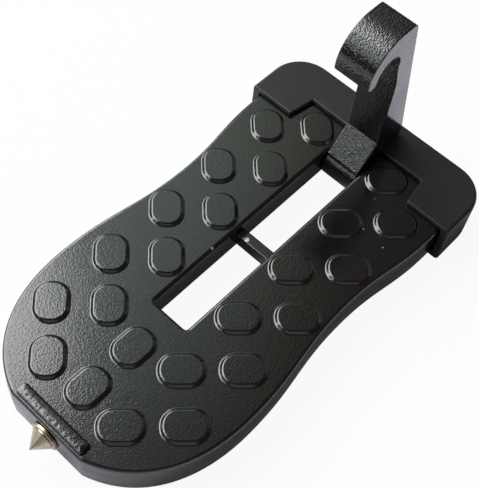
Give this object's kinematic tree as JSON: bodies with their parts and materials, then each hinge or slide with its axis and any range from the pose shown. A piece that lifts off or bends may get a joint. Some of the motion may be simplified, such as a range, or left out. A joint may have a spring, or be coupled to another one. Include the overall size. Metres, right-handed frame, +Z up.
{
  "type": "door latch step",
  "caption": "Foot-shaped car door step: cast tread plate with raised grip pads, folding hook for the latch striker, rubber bumper at the back and a hard breaker tip at the toe.",
  "frame": {"origin": "on the ground under the middle of the step's length, where the bumper's underside lies", "axes": "+X across the step, +Y from the toe with the breaker tip towards the bumper and the car, +Z up out of the tread"},
  "size_m": [0.082, 0.1572, 0.0749],
  "materials": {
    "plate_coat": "semi-gloss black powder coat with fine orange peel on a die casting",
    "hook_coat": "semi-gloss black powder coat on a sawn extrusion",
    "pin_steel": "ground steel",
    "bumper_rubber": "matte moulded rubber",
    "tip_steel": "turned hardened steel with warm nickel plating"
  },
  "bodies": {
    "step": {"step_plate": "plate_coat", "hinge_pin": "pin_steel", "bumper": "bumper_rubber", "breaker_tip": "tip_steel"},
    "hook": {"hook": "hook_coat"}
  },
  "joints": [
    {"name": "hook_fold", "type": "hinge", "parent": "step", "child": "hook", "pos_m": [0, 0.05725, 0.0084], "axis": [1, 0, 0], "range_deg": [0, 91]}
  ]
}
